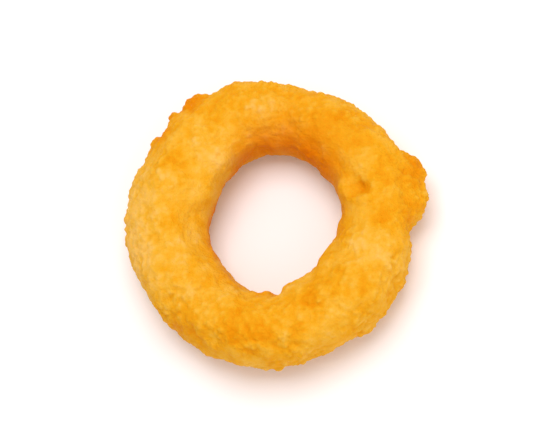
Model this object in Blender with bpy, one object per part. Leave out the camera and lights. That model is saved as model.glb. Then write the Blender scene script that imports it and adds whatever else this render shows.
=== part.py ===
"""A battered and fried onion ring, lying on its flatter side.

The ring is one closed body: a band of onion in a thick coat of batter, bent round a hole.
It starts as a torus. Stations round the ring give the band its uneven width, height and radius,
lumps and hollows of batter are added at named places, and the underside is settled flat where it rests.
"""
import math
from collections import namedtuple

import bpy
from mathutils import Vector, noise

MM = 0.001

# Driving dimensions, in millimetres
BAND_RADIUS = 25.2
BAND_HALF_WIDTH = 8.9
BAND_HALF_HEIGHT = 8.6
SQUARENESS = 2.12          # 2 is a round section, more is a fuller one
REST_DEPTH = 0.45          # how far the soft underside is pressed flat
RIPPLE_LENGTH = 9.0        # size of the batter's slow waves
RIPPLE_HEIGHT = 0.55
DIMPLE_LENGTH = 3.6        # size of the smaller bumps between them
DIMPLE_HEIGHT = 0.36
DIMPLE_SHIFT = Vector((7, 3, 5))    # keeps the bumps from lining up with the waves
NOISE_REACH = 0.5          # the noise runs about this far to either side of 0
NORMAL_STEP = 0.01         # in radians, between the points that a normal is worked out from

BATTER_COLOUR = (0.86, 0.41, 0.06, 1.0)
BATTER_ROUGHNESS = 0.5

# Facets round the ring and round the band
RING_SEGMENTS = 108
BAND_SEGMENTS = 38

# The band every 30 degrees, counter-clockwise from +X. Each value but the last is a share of the
# driving dimension above. The last is how far the underside stands off the table, in millimetres.
Station = namedtuple("Station", "radius width height lift")
STATIONS = (
    Station(0.892, 0.91, 0.97, 0.0),
    Station(0.955, 0.97, 1.00, 0.5),
    Station(0.995, 0.92, 0.95, 1.0),
    Station(1.080, 0.87, 0.93, 0.4),
    Station(1.125, 0.99, 1.00, 0.0),
    Station(1.075, 1.03, 1.03, 0.6),
    Station(1.060, 1.01, 1.00, 0.9),
    Station(1.005, 1.00, 1.02, 0.3),
    Station(1.000, 0.97, 1.04, 0.0),
    Station(1.020, 0.91, 1.02, 0.5),
    Station(0.945, 0.93, 1.03, 0.8),
    Station(0.940, 1.03, 1.00, 0.4),
)

# A lump or, with a height below 0, a hollow. around is the angle round the ring from +X, and over the
# angle over the band: 0 is its outer side, 90 its top, 180 the side of the hole and 270 its underside.
Lump = namedtuple("Lump", "around over spread height")
LUMPS = (
    Lump(4, 0, 2.1, 3.6),       # shoulder of thick batter on the outer side
    Lump(14, 358, 2.3, 3.1),
    Lump(23, 0, 2.1, 3.1),
    Lump(32, 3, 2.0, -1.2),     # crease behind the shoulder
    Lump(353, 350, 2.6, -1.1),
    Lump(109, 22, 3.6, 1.1),    # thicker before the knobs
    Lump(122, 22, 2.0, 2.4),    # two crisp knobs beside each other
    Lump(131, 22, 1.5, 1.8),
    Lump(144, 22, 1.6, 1.0),
    Lump(160, 15, 3.6, 1.0),    # and behind them
    Lump(178, 5, 2.2, 0.8),
    Lump(330, 12, 3.4, -1.0),   # flat where a neighbour lay in the fryer
    Lump(283, 336, 4.4, -0.9),  # thinner beside a small nub
    Lump(308, 338, 1.6, 1.5),
    Lump(21, 138, 1.9, 1.5),    # curl of batter near the hole's edge, round a small pit
    Lump(8, 110, 1.7, 1.0),
    Lump(14, 109, 1.5, -1.7),
    Lump(262, 156, 1.5, 0.9),   # ragged drips on the hole's rim
    Lump(269, 154, 1.5, -0.9),
    Lump(279, 156, 2.0, 1.6),
    Lump(322, 165, 2.6, 0.9),
    Lump(345, 170, 4.0, 0.7),   # thicker towards the hole
    Lump(72, 110, 5.0, -0.8),   # thin batter on the narrow side
    Lump(101, 70, 3.6, 0.5),
    Lump(160, 95, 4.2, 0.5),
    Lump(186, 130, 3.4, -0.6),
    Lump(208, 60, 4.5, 0.7),
    Lump(232, 105, 3.2, -0.6),
    Lump(250, 75, 4.6, 0.8),
    Lump(290, 85, 3.8, -0.5),
    Lump(312, 55, 4.0, 0.6),
    Lump(345, 100, 3.6, 0.5),
    Lump(84, 200, 4.0, 0.8),
    Lump(150, 200, 3.0, 1.1),   # lumps on the walls that the top view hides
    Lump(55, 205, 2.6, 0.9),
    Lump(215, 225, 3.2, 0.8),
    Lump(95, 335, 3.0, 1.2),
    Lump(190, 325, 2.8, 0.9),
    Lump(258, 315, 2.6, 0.8),
    Lump(285, 312, 3.0, 0.9),
    Lump(325, 225, 2.8, 0.9),
)


def clear_scene():
    for obj in list(bpy.data.objects):
        bpy.data.objects.remove(obj, do_unlink=True)


def station_at(around):
    """The band's shape at an angle round the ring, on a smooth closed curve through the stations."""
    place = (around / math.tau * len(STATIONS)) % len(STATIONS)
    first = int(place)
    t = place - first
    before, start, end, after = (STATIONS[(first + i - 1) % len(STATIONS)] for i in range(4))
    return Station(*(
        0.5 * (2 * b + (c - a) * t + (2 * a - 5 * b + 4 * c - d) * t**2 + (3 * b - a - 3 * c + d) * t**3)
        for a, b, c, d in zip(before, start, end, after)
    ))


def full_round(value):
    """A cosine or a sine with the corners of the band's section filled out."""
    return math.copysign(abs(value) ** (2 / SQUARENESS), value)


def band_point(around, over):
    """A point on the smooth band, in millimetres, before its lumps and ripples."""
    station = station_at(around)
    half_height = BAND_HALF_HEIGHT * station.height
    out = BAND_RADIUS * station.radius + BAND_HALF_WIDTH * station.width * full_round(math.cos(over))
    up = half_height - REST_DEPTH + station.lift + half_height * full_round(math.sin(over))
    return Vector((out * math.cos(around), out * math.sin(around), up))


def band_normal(around, over):
    """The direction that faces out of the smooth band."""
    along = band_point(around + NORMAL_STEP, over) - band_point(around - NORMAL_STEP, over)
    across = band_point(around, over + NORMAL_STEP) - band_point(around, over - NORMAL_STEP)
    return along.cross(across).normalized()


def lump_height(point, centres):
    """How far the lumps raise the batter at a point."""
    return sum(
        lump.height * math.exp(-0.5 * ((point - centre).length / lump.spread) ** 2)
        for lump, centre in centres
    )


def ripple_height(point):
    """The batter's own unevenness at a point."""
    slow = noise.noise(point / RIPPLE_LENGTH) * RIPPLE_HEIGHT
    quick = noise.noise(point / DIMPLE_LENGTH + DIMPLE_SHIFT) * DIMPLE_HEIGHT
    return (slow + quick) / NOISE_REACH


def make_ring(collection):
    bpy.ops.mesh.primitive_torus_add(
        major_segments=RING_SEGMENTS,
        minor_segments=BAND_SEGMENTS,
        major_radius=BAND_RADIUS * MM,
        minor_radius=BAND_HALF_WIDTH * MM,
    )
    ring = bpy.context.object
    ring.name = "onion_ring"
    ring.data.name = "onion_ring"
    centres = [(lump, band_point(math.radians(lump.around), math.radians(lump.over))) for lump in LUMPS]
    for vertex in ring.data.vertices:
        x, y, z = vertex.co
        around = math.atan2(y, x)
        over = math.atan2(z, math.hypot(x, y) - BAND_RADIUS * MM)
        point = band_point(around, over)
        raised = lump_height(point, centres) + ripple_height(point)
        point += band_normal(around, over) * raised
        point.z = max(point.z, 0.0)
        vertex.co = point * MM
    centre_footprint(ring.data)
    ring.data.shade_smooth()
    for owner in list(ring.users_collection):
        owner.objects.unlink(ring)
    collection.objects.link(ring)
    return ring


def centre_footprint(mesh):
    """Puts the origin at the middle of the ring's box, on the table."""
    middle = [
        (min(v.co[axis] for v in mesh.vertices) + max(v.co[axis] for v in mesh.vertices)) / 2
        for axis in (0, 1)
    ]
    for vertex in mesh.vertices:
        vertex.co.x -= middle[0]
        vertex.co.y -= middle[1]


def fried_batter():
    material = bpy.data.materials.new("fried_batter")
    material.use_nodes = True
    shader = material.node_tree.nodes["Principled BSDF"]
    shader.inputs["Base Color"].default_value = BATTER_COLOUR
    shader.inputs["Roughness"].default_value = BATTER_ROUGHNESS
    shader.inputs["Metallic"].default_value = 0.0
    material.diffuse_color = BATTER_COLOUR
    return material


def main():
    clear_scene()
    collection = bpy.data.collections.new("battered_onion_ring")
    bpy.context.scene.collection.children.link(collection)
    ring = make_ring(collection)
    ring.data.materials.append(fried_batter())


main()
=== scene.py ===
import math

import bpy
import numpy as np
from mathutils import Matrix, Vector


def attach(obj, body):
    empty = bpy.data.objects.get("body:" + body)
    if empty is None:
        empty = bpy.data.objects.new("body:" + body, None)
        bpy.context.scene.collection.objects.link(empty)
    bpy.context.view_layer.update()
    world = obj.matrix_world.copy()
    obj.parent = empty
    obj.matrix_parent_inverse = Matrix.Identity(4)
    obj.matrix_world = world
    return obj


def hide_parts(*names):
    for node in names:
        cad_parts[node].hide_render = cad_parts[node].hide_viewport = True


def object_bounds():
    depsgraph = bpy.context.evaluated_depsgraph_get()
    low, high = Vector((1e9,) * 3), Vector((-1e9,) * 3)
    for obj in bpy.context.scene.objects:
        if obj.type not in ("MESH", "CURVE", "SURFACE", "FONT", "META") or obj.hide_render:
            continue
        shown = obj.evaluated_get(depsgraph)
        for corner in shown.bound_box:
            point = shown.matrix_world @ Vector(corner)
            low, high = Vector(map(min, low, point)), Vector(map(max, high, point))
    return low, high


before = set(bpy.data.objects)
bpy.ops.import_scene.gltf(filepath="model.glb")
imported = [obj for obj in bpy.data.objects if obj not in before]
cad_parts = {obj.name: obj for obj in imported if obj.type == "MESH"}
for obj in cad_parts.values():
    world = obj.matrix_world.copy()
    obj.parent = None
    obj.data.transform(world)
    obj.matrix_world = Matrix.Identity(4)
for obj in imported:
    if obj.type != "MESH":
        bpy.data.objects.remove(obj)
cadLow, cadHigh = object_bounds()  # the ring's own box, before it is dressed
mm = 0.001
ringWidth = (cadHigh[0] - cadLow[0] + cadHigh[1] - cadLow[1]) / 2
bandRadius = 0.357 * ringWidth  # from the middle of the ring to the middle of its band
midHeight = (cadLow[2] + cadHigh[2]) / 2
print("frame loaded, ring", [round((h - l) / mm, 1) for l, h in zip(cadLow, cadHigh)], "mm")


def linearColour(code):  # an sRGB hex code as the linear colour that shaders take
    parts = [int(code[i:i + 2], 16) / 255 for i in (1, 3, 5)]
    return tuple(p / 12.92 if p <= 0.04045 else ((p + 0.055) / 1.055) ** 2.4 for p in parts) + (1.0,)


def findSocket(sockets, key):  # by place, by identifier where names repeat, or by name
    if isinstance(key, int):
        return sockets[key]
    return next((s for s in sockets if s.identifier == key), None) or sockets[key]


def addNode(tree, kind, inputs=None, **settings):
    node = tree.nodes.new(kind)
    for name, value in settings.items():
        setattr(node, name, value)
    for key, value in (inputs or {}).items():
        socket = findSocket(node.inputs, key)
        if isinstance(value, bpy.types.NodeSocket):
            tree.links.new(value, socket)
        else:
            socket.default_value = value
    return node


def mathNode(tree, operation, *values, clamp=False):
    return addNode(tree, "ShaderNodeMath", dict(enumerate(values)), operation=operation, use_clamp=clamp).outputs[0]


def newGeometryTree(name, sizes):
    tree = bpy.data.node_groups.new(name, "GeometryNodeTree")
    tree.interface.new_socket("Geometry", in_out="INPUT", socket_type="NodeSocketGeometry")
    for label, value in sizes.items():
        kind = "NodeSocketInt" if isinstance(value, int) else "NodeSocketFloat"
        tree.interface.new_socket(label, in_out="INPUT", socket_type=kind)
    tree.interface.new_socket("Geometry", in_out="OUTPUT", socket_type="NodeSocketGeometry")
    return tree, tree.nodes.new("NodeGroupInput").outputs, tree.nodes.new("NodeGroupOutput").inputs[0]


def endTree(tree, geometry, material, made):  # the export drops instances, so they are made real
    real = addNode(tree, "GeometryNodeRealizeInstances", {"Geometry": geometry})
    smooth = addNode(tree, "GeometryNodeSetShadeSmooth", {"Geometry": real.outputs[0]})
    dressed = addNode(tree, "GeometryNodeSetMaterial", {"Geometry": smooth.outputs[0], "Material": material})
    tree.links.new(dressed.outputs[0], made)
    return tree


def growMesh(obj, tree, sizes):  # runs a Geometry Nodes tree and keeps its result as a plain mesh
    modifier = obj.modifiers.new(tree.name, "NODES")
    modifier.node_group = tree
    for item in tree.interface.items_tree:
        if item.in_out == "INPUT" and item.name in sizes:
            modifier[item.identifier] = sizes[item.name]
    keepModified(obj)


def keepModified(obj):  # the modifiers' result becomes the mesh
    bpy.context.view_layer.update()
    graph = bpy.context.evaluated_depsgraph_get()
    mesh = bpy.data.meshes.new_from_object(
        obj.evaluated_get(graph), preserve_all_data_layers=True, depsgraph=graph)  # empty without the graph
    if not mesh.polygons:
        raise RuntimeError(obj.name + " came out with no faces")
    obj.modifiers.clear()
    old = obj.data
    obj.data = mesh
    bpy.data.meshes.remove(old)
    bpy.context.view_layer.update()


def dressWith(obj, material):  # one slot, also on faces that came in bare
    obj.data.materials.clear()
    obj.data.materials.append(material)
    obj.data.polygons.foreach_set("material_index", [0] * len(obj.data.polygons))


def newObject(name, mesh):
    obj = bpy.data.objects.new(name, mesh)
    bpy.context.scene.collection.objects.link(obj)
    bpy.context.view_layer.update()
    return obj


def meshPoints(obj):
    points = np.empty(len(obj.data.vertices) * 3, np.float32)
    obj.data.vertices.foreach_get("co", points)
    return points.reshape(-1, 3)


# A place on the band is given in degrees round the ring from +X and degrees over the band: 0 is its outer
# side, 90 its top and 180 the wall of the hole.
def placeOnBand(obj, around, over):  # the point on the crust, and the way out of the band there
    turn, lift = math.radians(around), math.radians(over)
    outward = Vector((math.cos(turn), math.sin(turn), 0))
    middle = outward * bandRadius + Vector((0, 0, midHeight))
    towards = outward * math.cos(lift) + Vector((0, 0, math.sin(lift)))
    hit, point, _, _ = obj.ray_cast(middle, towards)
    if not hit:
        raise RuntimeError("nothing at " + str((around, over)))
    return np.array(point), np.array(towards)


# around, over, mm across, mm high
knobPlaces = [    # crisp knobs with steep sides
    (118, 15, 2.0, 0.6), (121, 15, 3.4, 0.7), (126, 13, 2.6, 0.4), (132, 14, 2.2, 0.6), (143, 15, 2.2, 0.6),
    (151, 14, 1.8, 0.4), (158, 10, 2.0, 0.3), (177, 8, 2.6, 0.4), (185, 4, 2.2, 0.4), (7, 352, 3.0, 0.6), (15, 354, 3.4, 0.7), (308, 338, 2.4, 0.5),
]
lumpPlaces = [    # thicker and thinner places in the batter
    (104, 20, 6.0, 0.5), (112, 18, 4.0, 0.5), (128, 14, 1.8, -0.9), (137, 16, 2.4, -0.8), (149, 14, 4.0, 0.6),
    (156, 12, 4.0, 0.6), (163, 10, 4.0, 0.3),
    (128, 152, 9.0, 0.7), (146, 154, 9.0, 0.7), (166, 158, 8.0, 0.4), (195, 178, 8.0, 0.9),    # fuller towards the hole
    (250, 156, 2.0, -0.4), (256, 152, 1.8, 0.6), (266, 150, 1.8, 0.5), (273, 150, 2.0, -0.3),  # ragged drips
    (280, 152, 1.8, 0.6), (289, 154, 2.0, 0.6), (297, 156, 2.6, 0.7), (307, 156, 2.0, -0.3), (316, 158, 2.4, 0.6),
    (328, 162, 2.2, 0.4), (349, 172, 3.0, 0.4),
    (9, 114, 2.4, -0.9), (3, 113, 2.0, 0.5), (14, 106, 1.6, 0.3), (8, 128, 1.4, -0.4), (3, 131, 1.2, 0.4), (7, 140, 1.2, 0.3),
    (13, 138, 1.4, 0.3), (5, 136, 0.9, -0.4),
]


def raiseLumps(obj, places, steepness):  # 2 is a soft hill, and more has a flatter top and steeper sides
    points = meshPoints(obj)
    moved = points.copy()
    for around, over, across, height in places:
        centre, outward = placeOnBand(obj, around, over)
        away = np.linalg.norm(points - centre, axis=1) / (across / 2 * mm)
        moved += np.outer(np.exp(-0.5 * away ** steepness), outward * height * mm)
    obj.data.vertices.foreach_set("co", moved.astype(np.float32).ravel())
    obj.data.update()


# around, over, mm across, and how strongly
raggedPlaces = [    # where drops of batter caught and set crisp
    (124, 15, 5.0, 1.0), (132, 12, 5.0, 1.0), (142, 14, 6.0, 0.7), (178, 6, 7.0, 0.4), (14, 10, 8.0, 0.3),
    (248, 155, 5.0, 0.6), (266, 152, 5.0, 0.8), (284, 155, 6.0, 0.7), (302, 157, 6.0, 0.5), (318, 160, 5.0, 0.4),
    (95, 340, 8.0, 0.5), (310, 345, 9.0, 0.5), (225, 350, 8.0, 0.4),
]
toastAndShadePlaces = [    # fried a deeper gold; on the outer right side, round 0 to 15, painted shade
    (124, 18, 5.0, 1.0), (133, 14, 4.0, 0.9), (141, 25, 4.0, 0.9), (110, 55, 5.0, 0.6), (116, 85, 4.0, 0.4),
    (150, 84, 3.5, 0.5), (65, 88, 5.0, 0.35), (77, 55, 4.0, 0.4), (47, 95, 9.0, 0.6), (9, 113, 2.8, 1.0), (5, 137, 1.4, 0.5),
    (11, 74, 4.5, 0.6), (353, 77, 4.5, 0.8), (15, 15, 7.0, 0.8), (0, 22, 7.0, 0.7), (310, 92, 6.0, 0.4), (293, 89, 4.5, 0.7),
    (266, 64, 7.0, 0.8), (254, 52, 4.5, 0.7), (282, 60, 3.0, 0.5), (253, 88, 3.0, 0.6), (236, 40, 5.0, 0.6),
    (345, 165, 5.0, 0.6), (318, 58, 2.4, 0.6), (184, 115, 3.0, 0.5), (228, 10, 7.0, 0.5),
]
oilAndShadePlaces = [    # gathered oil on the knobs; round the wall of the hole, painted shade in deep orange
    (124, 20, 4.6, 0.5), (132, 16, 3.0, 0.4), (140, 24, 3.6, 0.5), (17, 2, 5.0, 0.3),
    (95, 176, 9.0, 0.9), (78, 170, 10.0, 0.9), (60, 165, 10.0, 1.0), (43, 165, 9.0, 0.9), (112, 182, 7.0, 0.9),
    (124, 192, 4.0, 0.9), (134, 193, 3.6, 0.9), (144, 194, 3.6, 0.9), (154, 194, 3.6, 0.9), (164, 193, 3.6, 0.9),
    (174, 192, 3.6, 0.9), (184, 190, 3.6, 0.8), (194, 187, 3.6, 0.7), (210, 181, 4.0, 0.6), (235, 172, 6.0, 0.4), (265, 165, 5.0, 0.5),
    (5, 175, 6.0, 0.4), (20, 170, 6.0, 0.5),
]
palePlaces = [    # thin batter, with the onion just under it; painted light on the outer left side and on the upper-left slope of the hole
    (172, 42, 15.0, 1.1), (194, 36, 12.0, 1.3), (209, 35, 6.0, 0.6), (155, 80, 9.0, 0.4), (132, 135, 10.0, 0.9), (38, 124, 7.0, 0.4), (190, 70, 9.0, 0.5), (205, 100, 7.0, 0.4),
    (3, 113, 2.0, 0.7), (14, 104, 1.6, 0.5), (335, 75, 8.0, 0.6), (297, 50, 8.0, 0.4), (90, 100, 6.0, 0.3), (0, 60, 5.0, 0.3), (350, 110, 5.0, 0.4),
]


def markPlaces(obj, name, places):  # soft-edged spots, kept as an attribute
    points = meshPoints(obj)
    share = np.zeros(len(points), np.float32)
    for around, over, across, strength in places:
        centre, _ = placeOnBand(obj, around, over)
        away = np.linalg.norm(points - centre, axis=1) / (across / 2 * mm)
        share = np.maximum(share, strength * np.exp(-0.5 * away ** 2))
    obj.data.attributes.new(name, "FLOAT", "POINT").data.foreach_set("value", share.astype(np.float32))


nubSizes = {
    "Spacing": 1.3 * mm,
    "Density": 520000.0,       # nubs for each square metre, before the spacing thins them
    "Smallest": 0.40 * mm,     # radius
    "Largest": 0.85 * mm,
    "Flatness": 0.60,
    "Sink": 0.25,              # share of its radius that a nub sits below the surface
    "Patch Size": 9.0 * mm,
    "Seed": 11,
}


def makeNubTree(material):  # beads of batter that set on the surface as it fried
    tree, size, made = newGeometryTree("batterNubs", nubSizes)
    patchScale = mathNode(tree, "DIVIDE", 1.0, size["Patch Size"])
    patches = addNode(tree, "ShaderNodeTexNoise", {"Scale": patchScale, "Detail": 1.0})
    scattered = addNode(tree, "ShaderNodeMapRange", {
        "Value": patches.outputs[0], "From Min": 0.44, "From Max": 0.68, "To Min": 0.01, "To Max": 0.16,
    })
    ragged = addNode(tree, "GeometryNodeInputNamedAttribute", {"Name": "ragged"}, data_type="FLOAT").outputs[0]
    share = mathNode(tree, "MAXIMUM", scattered.outputs[0], ragged)
    points = addNode(tree, "GeometryNodeDistributePointsOnFaces", {
        "Mesh": size["Geometry"], "Distance Min": size["Spacing"], "Density Max": size["Density"],
        "Density Factor": share, "Seed": size["Seed"],
    }, distribute_method="POISSON")
    bead = addNode(tree, "GeometryNodeMeshUVSphere", {"Radius": 1.0, "Segments": 8, "Rings": 5})
    sunk = addNode(tree, "ShaderNodeCombineXYZ", {"Z": mathNode(tree, "MULTIPLY", size["Sink"], -1.0)})
    low = addNode(tree, "GeometryNodeTransform", {"Geometry": bead.outputs["Mesh"], "Translation": sunk.outputs[0]})
    width = addNode(tree, "FunctionNodeRandomValue", {
        "Min_001": size["Smallest"], "Max_001": size["Largest"], "Seed": size["Seed"],
    }, data_type="FLOAT")
    radius = findSocket(width.outputs, "Value_001")
    height = mathNode(tree, "MULTIPLY", radius, size["Flatness"])
    scale = addNode(tree, "ShaderNodeCombineXYZ", {"X": radius, "Y": radius, "Z": height})
    beads = addNode(tree, "GeometryNodeInstanceOnPoints", {
        "Points": points.outputs["Points"], "Instance": low.outputs[0],
        "Rotation": points.outputs["Rotation"], "Scale": scale.outputs[0],
    })
    both = addNode(tree, "GeometryNodeJoinGeometry", {"Geometry": beads.outputs[0]})
    tree.links.new(size["Geometry"], both.inputs["Geometry"])
    return endTree(tree, both.outputs[0], material, made)


reliefSizes = {
    "Wave Size": 7.0 * mm, "Wave Height": 0.45 * mm,
    "Crag Size": 2.6 * mm, "Crag Height": 0.60 * mm,
    "Pebble Size": 1.5 * mm, "Pebble Height": 0.28 * mm,
    "Pit Size": 2.4 * mm, "Pit Depth": 0.30 * mm,
    "Break Up": 0.9 * mm,      # how far the pebbles' and pits' outlines wander
    "Rough Patch": 10.0 * mm,  # between craggier and smoother parts
    "Hole": 0.245 * ringWidth,  # radius of the hole
    "Crown": bandRadius,
    "Height Step": 0.12 * mm,  # how far a tip stands above what is round it; it sets the painted shade in hollows and painted light on tips
    "Height Blur": 30,         # rounds of averaging that give what is round it
}


def makeReliefTree(material):  # waves, crags, pebbles and burst bubbles in the crust
    tree, size, made = newGeometryTree("crustRelief", reliefSizes)
    place = addNode(tree, "GeometryNodeInputPosition").outputs[0]
    normal = addNode(tree, "GeometryNodeInputNormal").outputs[0]

    def scaleOf(label):
        return mathNode(tree, "DIVIDE", 1.0, size[label])

    def noiseOf(label, detail, roughness=0.5):  # runs from -1 to 1
        noise = addNode(tree, "ShaderNodeTexNoise", {
            "Vector": place, "Scale": scaleOf(label), "Detail": detail, "Roughness": roughness,
        })
        return mathNode(tree, "MULTIPLY_ADD", noise.outputs[0], 2.0, -1.0)

    def times(a, b):
        return mathNode(tree, "MULTIPLY", a, b)

    bend = addNode(tree, "ShaderNodeTexNoise", {"Vector": place, "Scale": scaleOf("Pebble Size"), "Detail": 2.0})
    centred = addNode(tree, "ShaderNodeVectorMath", {0: bend.outputs["Color"], 1: (0.5, 0.5, 0.5)},
                      operation="SUBTRACT")
    wander = addNode(tree, "ShaderNodeVectorMath", {0: centred.outputs[0], "Scale": size["Break Up"]},
                     operation="SCALE")
    bent = addNode(tree, "ShaderNodeVectorMath", {0: place, 1: wander.outputs[0]}, operation="ADD").outputs[0]

    patchy = addNode(tree, "ShaderNodeMapRange", {
        "Value": noiseOf("Rough Patch", 1.0), "From Min": -0.30, "From Max": 0.25, "To Min": 0.55, "To Max": 1.15,
    })
    flat = addNode(tree, "ShaderNodeVectorMath", {0: place, 1: (1.0, 1.0, 0.0)}, operation="MULTIPLY")
    fromAxis = addNode(tree, "ShaderNodeVectorMath", {0: flat.outputs[0]}, operation="LENGTH")
    outOfHole = addNode(tree, "ShaderNodeMapRange", {  # the wall of the hole set smoother
        "Value": fromAxis.outputs["Value"], "From Min": size["Hole"], "From Max": size["Crown"],
        "To Min": 0.42, "To Max": 1.0,
    })
    rough = times(patchy.outputs[0], outOfHole.outputs[0])
    wave = times(noiseOf("Wave Size", 1.0), size["Wave Height"])
    crag = times(times(noiseOf("Crag Size", 3.0, 0.62), size["Crag Height"]), rough)

    pebbles = addNode(tree, "ShaderNodeTexVoronoi", {
        "Vector": bent, "Scale": scaleOf("Pebble Size"), "Smoothness": 0.35,
    }, feature="SMOOTH_F1")
    dome = addNode(tree, "ShaderNodeMapRange", {
        "Value": pebbles.outputs["Distance"], "From Min": 0.1, "From Max": 0.75, "To Min": 1.0, "To Max": -0.6,
    }, interpolation_type="SMOOTHSTEP")
    pebble = times(times(dome.outputs[0], size["Pebble Height"]), rough)

    pits = addNode(tree, "ShaderNodeTexVoronoi", {"Vector": bent, "Scale": scaleOf("Pit Size")}, feature="F1")
    chance = addNode(tree, "ShaderNodeSeparateXYZ", {0: pits.outputs["Color"]})
    chosen = mathNode(tree, "GREATER_THAN", chance.outputs[0], 0.84)
    bowl = addNode(tree, "ShaderNodeMapRange", {
        "Value": pits.outputs["Distance"], "From Min": 0.06, "From Max": 0.36, "To Min": 1.0, "To Max": 0.0,
    }, interpolation_type="SMOOTHSTEP")
    pit = times(times(bowl.outputs[0], chosen), size["Pit Depth"])

    raised = mathNode(tree, "SUBTRACT", mathNode(tree, "ADD", mathNode(tree, "ADD", wave, pebble), crag), pit)
    blurred = addNode(tree, "GeometryNodeBlurAttribute", {
        "Value": raised, "Iterations": size["Height Blur"],
    }, data_type="FLOAT")
    stands = mathNode(tree, "SUBTRACT", raised, blurred.outputs[0])
    marked = addNode(tree, "GeometryNodeStoreNamedAttribute", {
        "Geometry": size["Geometry"], "Name": "relief",
        "Value": mathNode(tree, "DIVIDE", stands, size["Height Step"]),
    }, data_type="FLOAT", domain="POINT")
    offset = addNode(tree, "ShaderNodeVectorMath", {0: normal, "Scale": raised}, operation="SCALE")
    moved = addNode(tree, "GeometryNodeSetPosition", {
        "Geometry": marked.outputs[0], "Offset": offset.outputs[0],
    })
    axes = addNode(tree, "ShaderNodeSeparateXYZ", {0: place})
    above = mathNode(tree, "MAXIMUM", axes.outputs["Z"], 0.0)  # the underside is settled on what it lies on
    settledAt = addNode(tree, "ShaderNodeCombineXYZ", {"X": axes.outputs["X"], "Y": axes.outputs["Y"], "Z": above})
    settled = addNode(tree, "GeometryNodeSetPosition", {
        "Geometry": moved.outputs[0], "Position": settledAt.outputs[0],
    })
    return endTree(tree, settled.outputs[0], material, made)


def smoothMesh(obj, repeats):
    smooth = obj.modifiers.new("smooth", "SMOOTH")
    smooth.factor = 0.5
    smooth.iterations = repeats


def remeshVoxels(obj, voxel):
    remesh = obj.modifiers.new("remesh", "REMESH")
    remesh.mode = "VOXEL"
    remesh.voxel_size = voxel


crustSizes = {
    "voxel": 0.38 * mm,        # keeps the crust just under 200,000 triangles
    "facetSmoothing": 20,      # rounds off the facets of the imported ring
    "nubSmoothing": 2,         # melts the nubs into the batter
}


def makeCrust(material):
    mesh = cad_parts["onion_ring"].data.copy()
    mesh.materials[0] = material
    crust = newObject("crust", mesh)
    weld = crust.modifiers.new("weld", "WELD")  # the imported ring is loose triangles
    weld.merge_threshold = 0.0001 * mm
    remeshVoxels(crust, crustSizes["voxel"])
    smoothMesh(crust, crustSizes["facetSmoothing"])
    keepModified(crust)
    print("crust body,", len(crust.data.polygons), "faces")
    raiseLumps(crust, lumpPlaces, 2)
    raiseLumps(crust, knobPlaces, 5)
    markPlaces(crust, "ragged", raggedPlaces)
    growMesh(crust, makeNubTree(material), nubSizes)
    remeshVoxels(crust, crustSizes["voxel"])
    smoothMesh(crust, crustSizes["nubSmoothing"])
    keepModified(crust)
    print("crust with nubs,", len(crust.data.polygons), "faces")
    growMesh(crust, makeReliefTree(material), reliefSizes)
    for name, places in (("toast_and_shade", toastAndShadePlaces), ("oil_and_shade", oilAndShadePlaces), ("pale", palePlaces)):
        markPlaces(crust, name, places)
    dressWith(crust, material)
    print("crust finished,", len(crust.data.polygons), "faces")
    return crust


batterLook = {
    "deep": "#e18f06",         # where it fried longest, and the deepest painted shade
    "gold": "#e5a017",
    "honey": "#e8ad33",
    "pale": "#ecb959",         # thin batter over the onion, and painted light
    "oil_and_shade": "#dd7900",          # soaked with oil, and the painted shade on the wall of the hole
    "patch": 11.0,             # mm across the slow changes of colour
    "mottle": 4.0,             # mm across the mottling
    "speck": 1.3,              # mm across the speckle
    "grit": 0.5,               # mm across the grit, which is drawn a little coarse so that it shows
}


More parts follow.
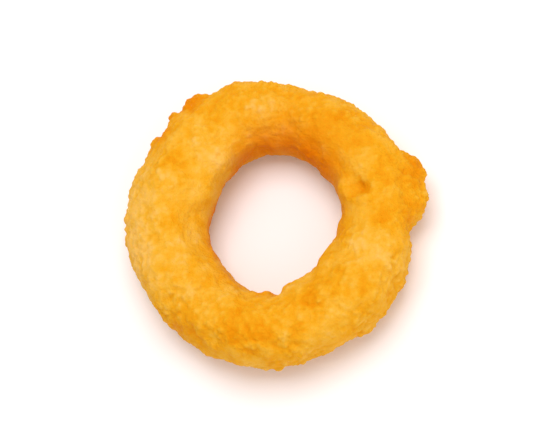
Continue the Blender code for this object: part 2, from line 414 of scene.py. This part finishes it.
# Fried wheat batter, set in hot oil: a matt porous crust that lets light a little way in, with hardly any shine.
def makeBatterMaterial():
    look = batterLook
    material = bpy.data.materials.new("friedBatter")
    material.use_nodes = True
    tree = material.node_tree
    shader = tree.nodes["Principled BSDF"]
    place = addNode(tree, "ShaderNodeTexCoord").outputs["Object"]

    def noiseOf(sizeMm, detail, low, high):  # runs from -1 to 1 between the noise's own low and high
        noise = addNode(tree, "ShaderNodeTexNoise", {
            "Vector": place, "Scale": 1 / (sizeMm * mm), "Detail": detail, "Roughness": 0.55,
        })
        return addNode(tree, "ShaderNodeMapRange", {
            "Value": noise.outputs[0], "From Min": low, "From Max": high, "To Min": -1.0, "To Max": 1.0,
        }).outputs[0]

    def marked(name):
        return addNode(tree, "ShaderNodeAttribute", attribute_name=name).outputs["Fac"]

    def plus(total, value, weight):
        return mathNode(tree, "MULTIPLY_ADD", value, weight, total)

    lightness = plus(0.50, noiseOf(look["patch"], 1.0, 0.32, 0.68), 0.05)
    lightness = plus(lightness, noiseOf(look["mottle"], 1.0, 0.32, 0.68), 0.18)
    lightness = plus(lightness, noiseOf(look["speck"], 3.0, 0.36, 0.64), 0.08)
    # painted shade: hollows darker and tips lighter, by the relief
    lightness = plus(lightness, marked("relief"), 0.06)
    # pale lightens: thin batter, and painted light on the outer left side and the hole's upper-left slope
    lightness = plus(lightness, marked("pale"), 0.32)
    # toast darkens the batter: a deeper fry, and painted shade on the outer right side
    lightness = plus(lightness, marked("toast_and_shade"), -0.55)
    ramp = addNode(tree, "ShaderNodeValToRGB", {"Fac": lightness})
    stops = ramp.color_ramp.elements
    stops[0].color = linearColour(look["deep"])
    stops[1].color = linearColour(look["pale"])
    stops.new(0.36).color = linearColour(look["gold"])
    stops.new(0.66).color = linearColour(look["honey"])
    # deep orange mixed in: oil on the knobs, and painted shade round the wall of the hole
    oiledAndShaded = addNode(tree, "ShaderNodeMix", {
        "Factor_Float": marked("oil_and_shade"), "A_Color": ramp.outputs["Color"], "B_Color": linearColour(look["oil_and_shade"]),
    }, data_type="RGBA")
    tree.links.new(findSocket(oiledAndShaded.outputs, "Result_Color"), shader.inputs["Base Color"])

    gloss = addNode(tree, "ShaderNodeMapRange", {
        "Value": noiseOf(5.0, 2.0, 0.35, 0.65), "From Min": -1.0, "From Max": 1.0, "To Min": 0.50, "To Max": 0.68,
    })
    tree.links.new(gloss.outputs[0], shader.inputs["Roughness"])
    grit = addNode(tree, "ShaderNodeBump", {
        "Height": noiseOf(look["grit"], 3.0, 0.3, 0.7), "Strength": 0.55, "Distance": 0.14 * mm,
    })
    tree.links.new(grit.outputs[0], shader.inputs["Normal"])
    shader.inputs["IOR"].default_value = 1.45
    shader.inputs["Specular IOR Level"].default_value = 0.05
    shader.inputs["Subsurface Weight"].default_value = 0.12
    shader.inputs["Subsurface Radius"].default_value = (1.0, 0.42, 0.12)
    shader.inputs["Subsurface Scale"].default_value = 0.8 * mm
    return material


stageLook = {
    "floor": "#f8f6fa",
    "floorSize": 4.0,
    "tilt": 24,                # degrees between the ring's axis and the camera's line of sight
    "far": 120,                # degrees round from +X to the side that is farthest away
    "distance": 0.58,
    "lens": 165,
    "world": "#fff6ee", "worldStrength": 0.70,
    "key": 3.6, "keySize": 0.55, "keyDistance": 0.75,
    "fill": 1.9, "fillSize": 0.9,
}


def cameraFrame():  # the directions back to the camera, up and right in its view
    tilt, far = math.radians(stageLook["tilt"]), math.radians(stageLook["far"])
    back = Vector((-math.cos(far) * math.sin(tilt), -math.sin(far) * math.sin(tilt), math.cos(tilt)))
    up = (Vector((0, 1, 0)) - back * back.y).normalized()
    return back, up, up.cross(back)


def aimed(obj, at, towards, up, distance):  # obj stands off along a direction and looks back at a point
    side = up.cross(towards).normalized()
    obj.rotation_euler = Matrix((side, towards.cross(side), towards)).transposed().to_euler()
    obj.location = at + towards * distance


def makeFloor():
    half = stageLook["floorSize"] / 2
    mesh = bpy.data.meshes.new("floor")
    mesh.from_pydata([(-half, -half, 0), (half, -half, 0), (half, half, 0), (-half, half, 0)], [], [(0, 1, 2, 3)])
    floor = newObject("floor", mesh)
    material = bpy.data.materials.new("paleBoard")
    material.use_nodes = True
    shader = material.node_tree.nodes["Principled BSDF"]
    shader.inputs["Base Color"].default_value = linearColour(stageLook["floor"])
    shader.inputs["Roughness"].default_value = 0.9
    mesh.materials.append(material)


def makeAreaLight(name, energy, size, at, towards, up, distance):
    light = bpy.data.lights.new(name, "AREA")
    light.energy = energy
    light.size = size
    lamp = newObject(name, light)
    aimed(lamp, at, towards.normalized(), up, distance)


def makeStage():
    makeFloor()
    back, up, right = cameraFrame()
    middle = Vector((0, 0, midHeight))
    world = bpy.data.worlds.new("studio")
    world.use_nodes = True
    world.node_tree.nodes["Background"].inputs["Color"].default_value = linearColour(stageLook["world"])
    world.node_tree.nodes["Background"].inputs["Strength"].default_value = stageLook["worldStrength"]
    bpy.context.scene.world = world
    makeAreaLight("key", stageLook["key"], stageLook["keySize"], middle,
                  up * 0.62 - right * 0.2 + back * 0.9, up, stageLook["keyDistance"])
    makeAreaLight("fill", stageLook["fill"], stageLook["fillSize"], middle,
                  up * -0.5 + right * 0.5 + back * 0.7, up, stageLook["keyDistance"])
    camera = bpy.data.cameras.new("camera")
    camera.lens = stageLook["lens"]
    seen = newObject("camera", camera)
    aimed(seen, middle, back, up, stageLook["distance"])
    bpy.context.scene.camera = seen
    bpy.context.scene.view_settings.view_transform = "Standard"
    print("stage set")


crust = makeCrust(makeBatterMaterial())
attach(crust, "root")
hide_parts("onion_ring")
makeStage()
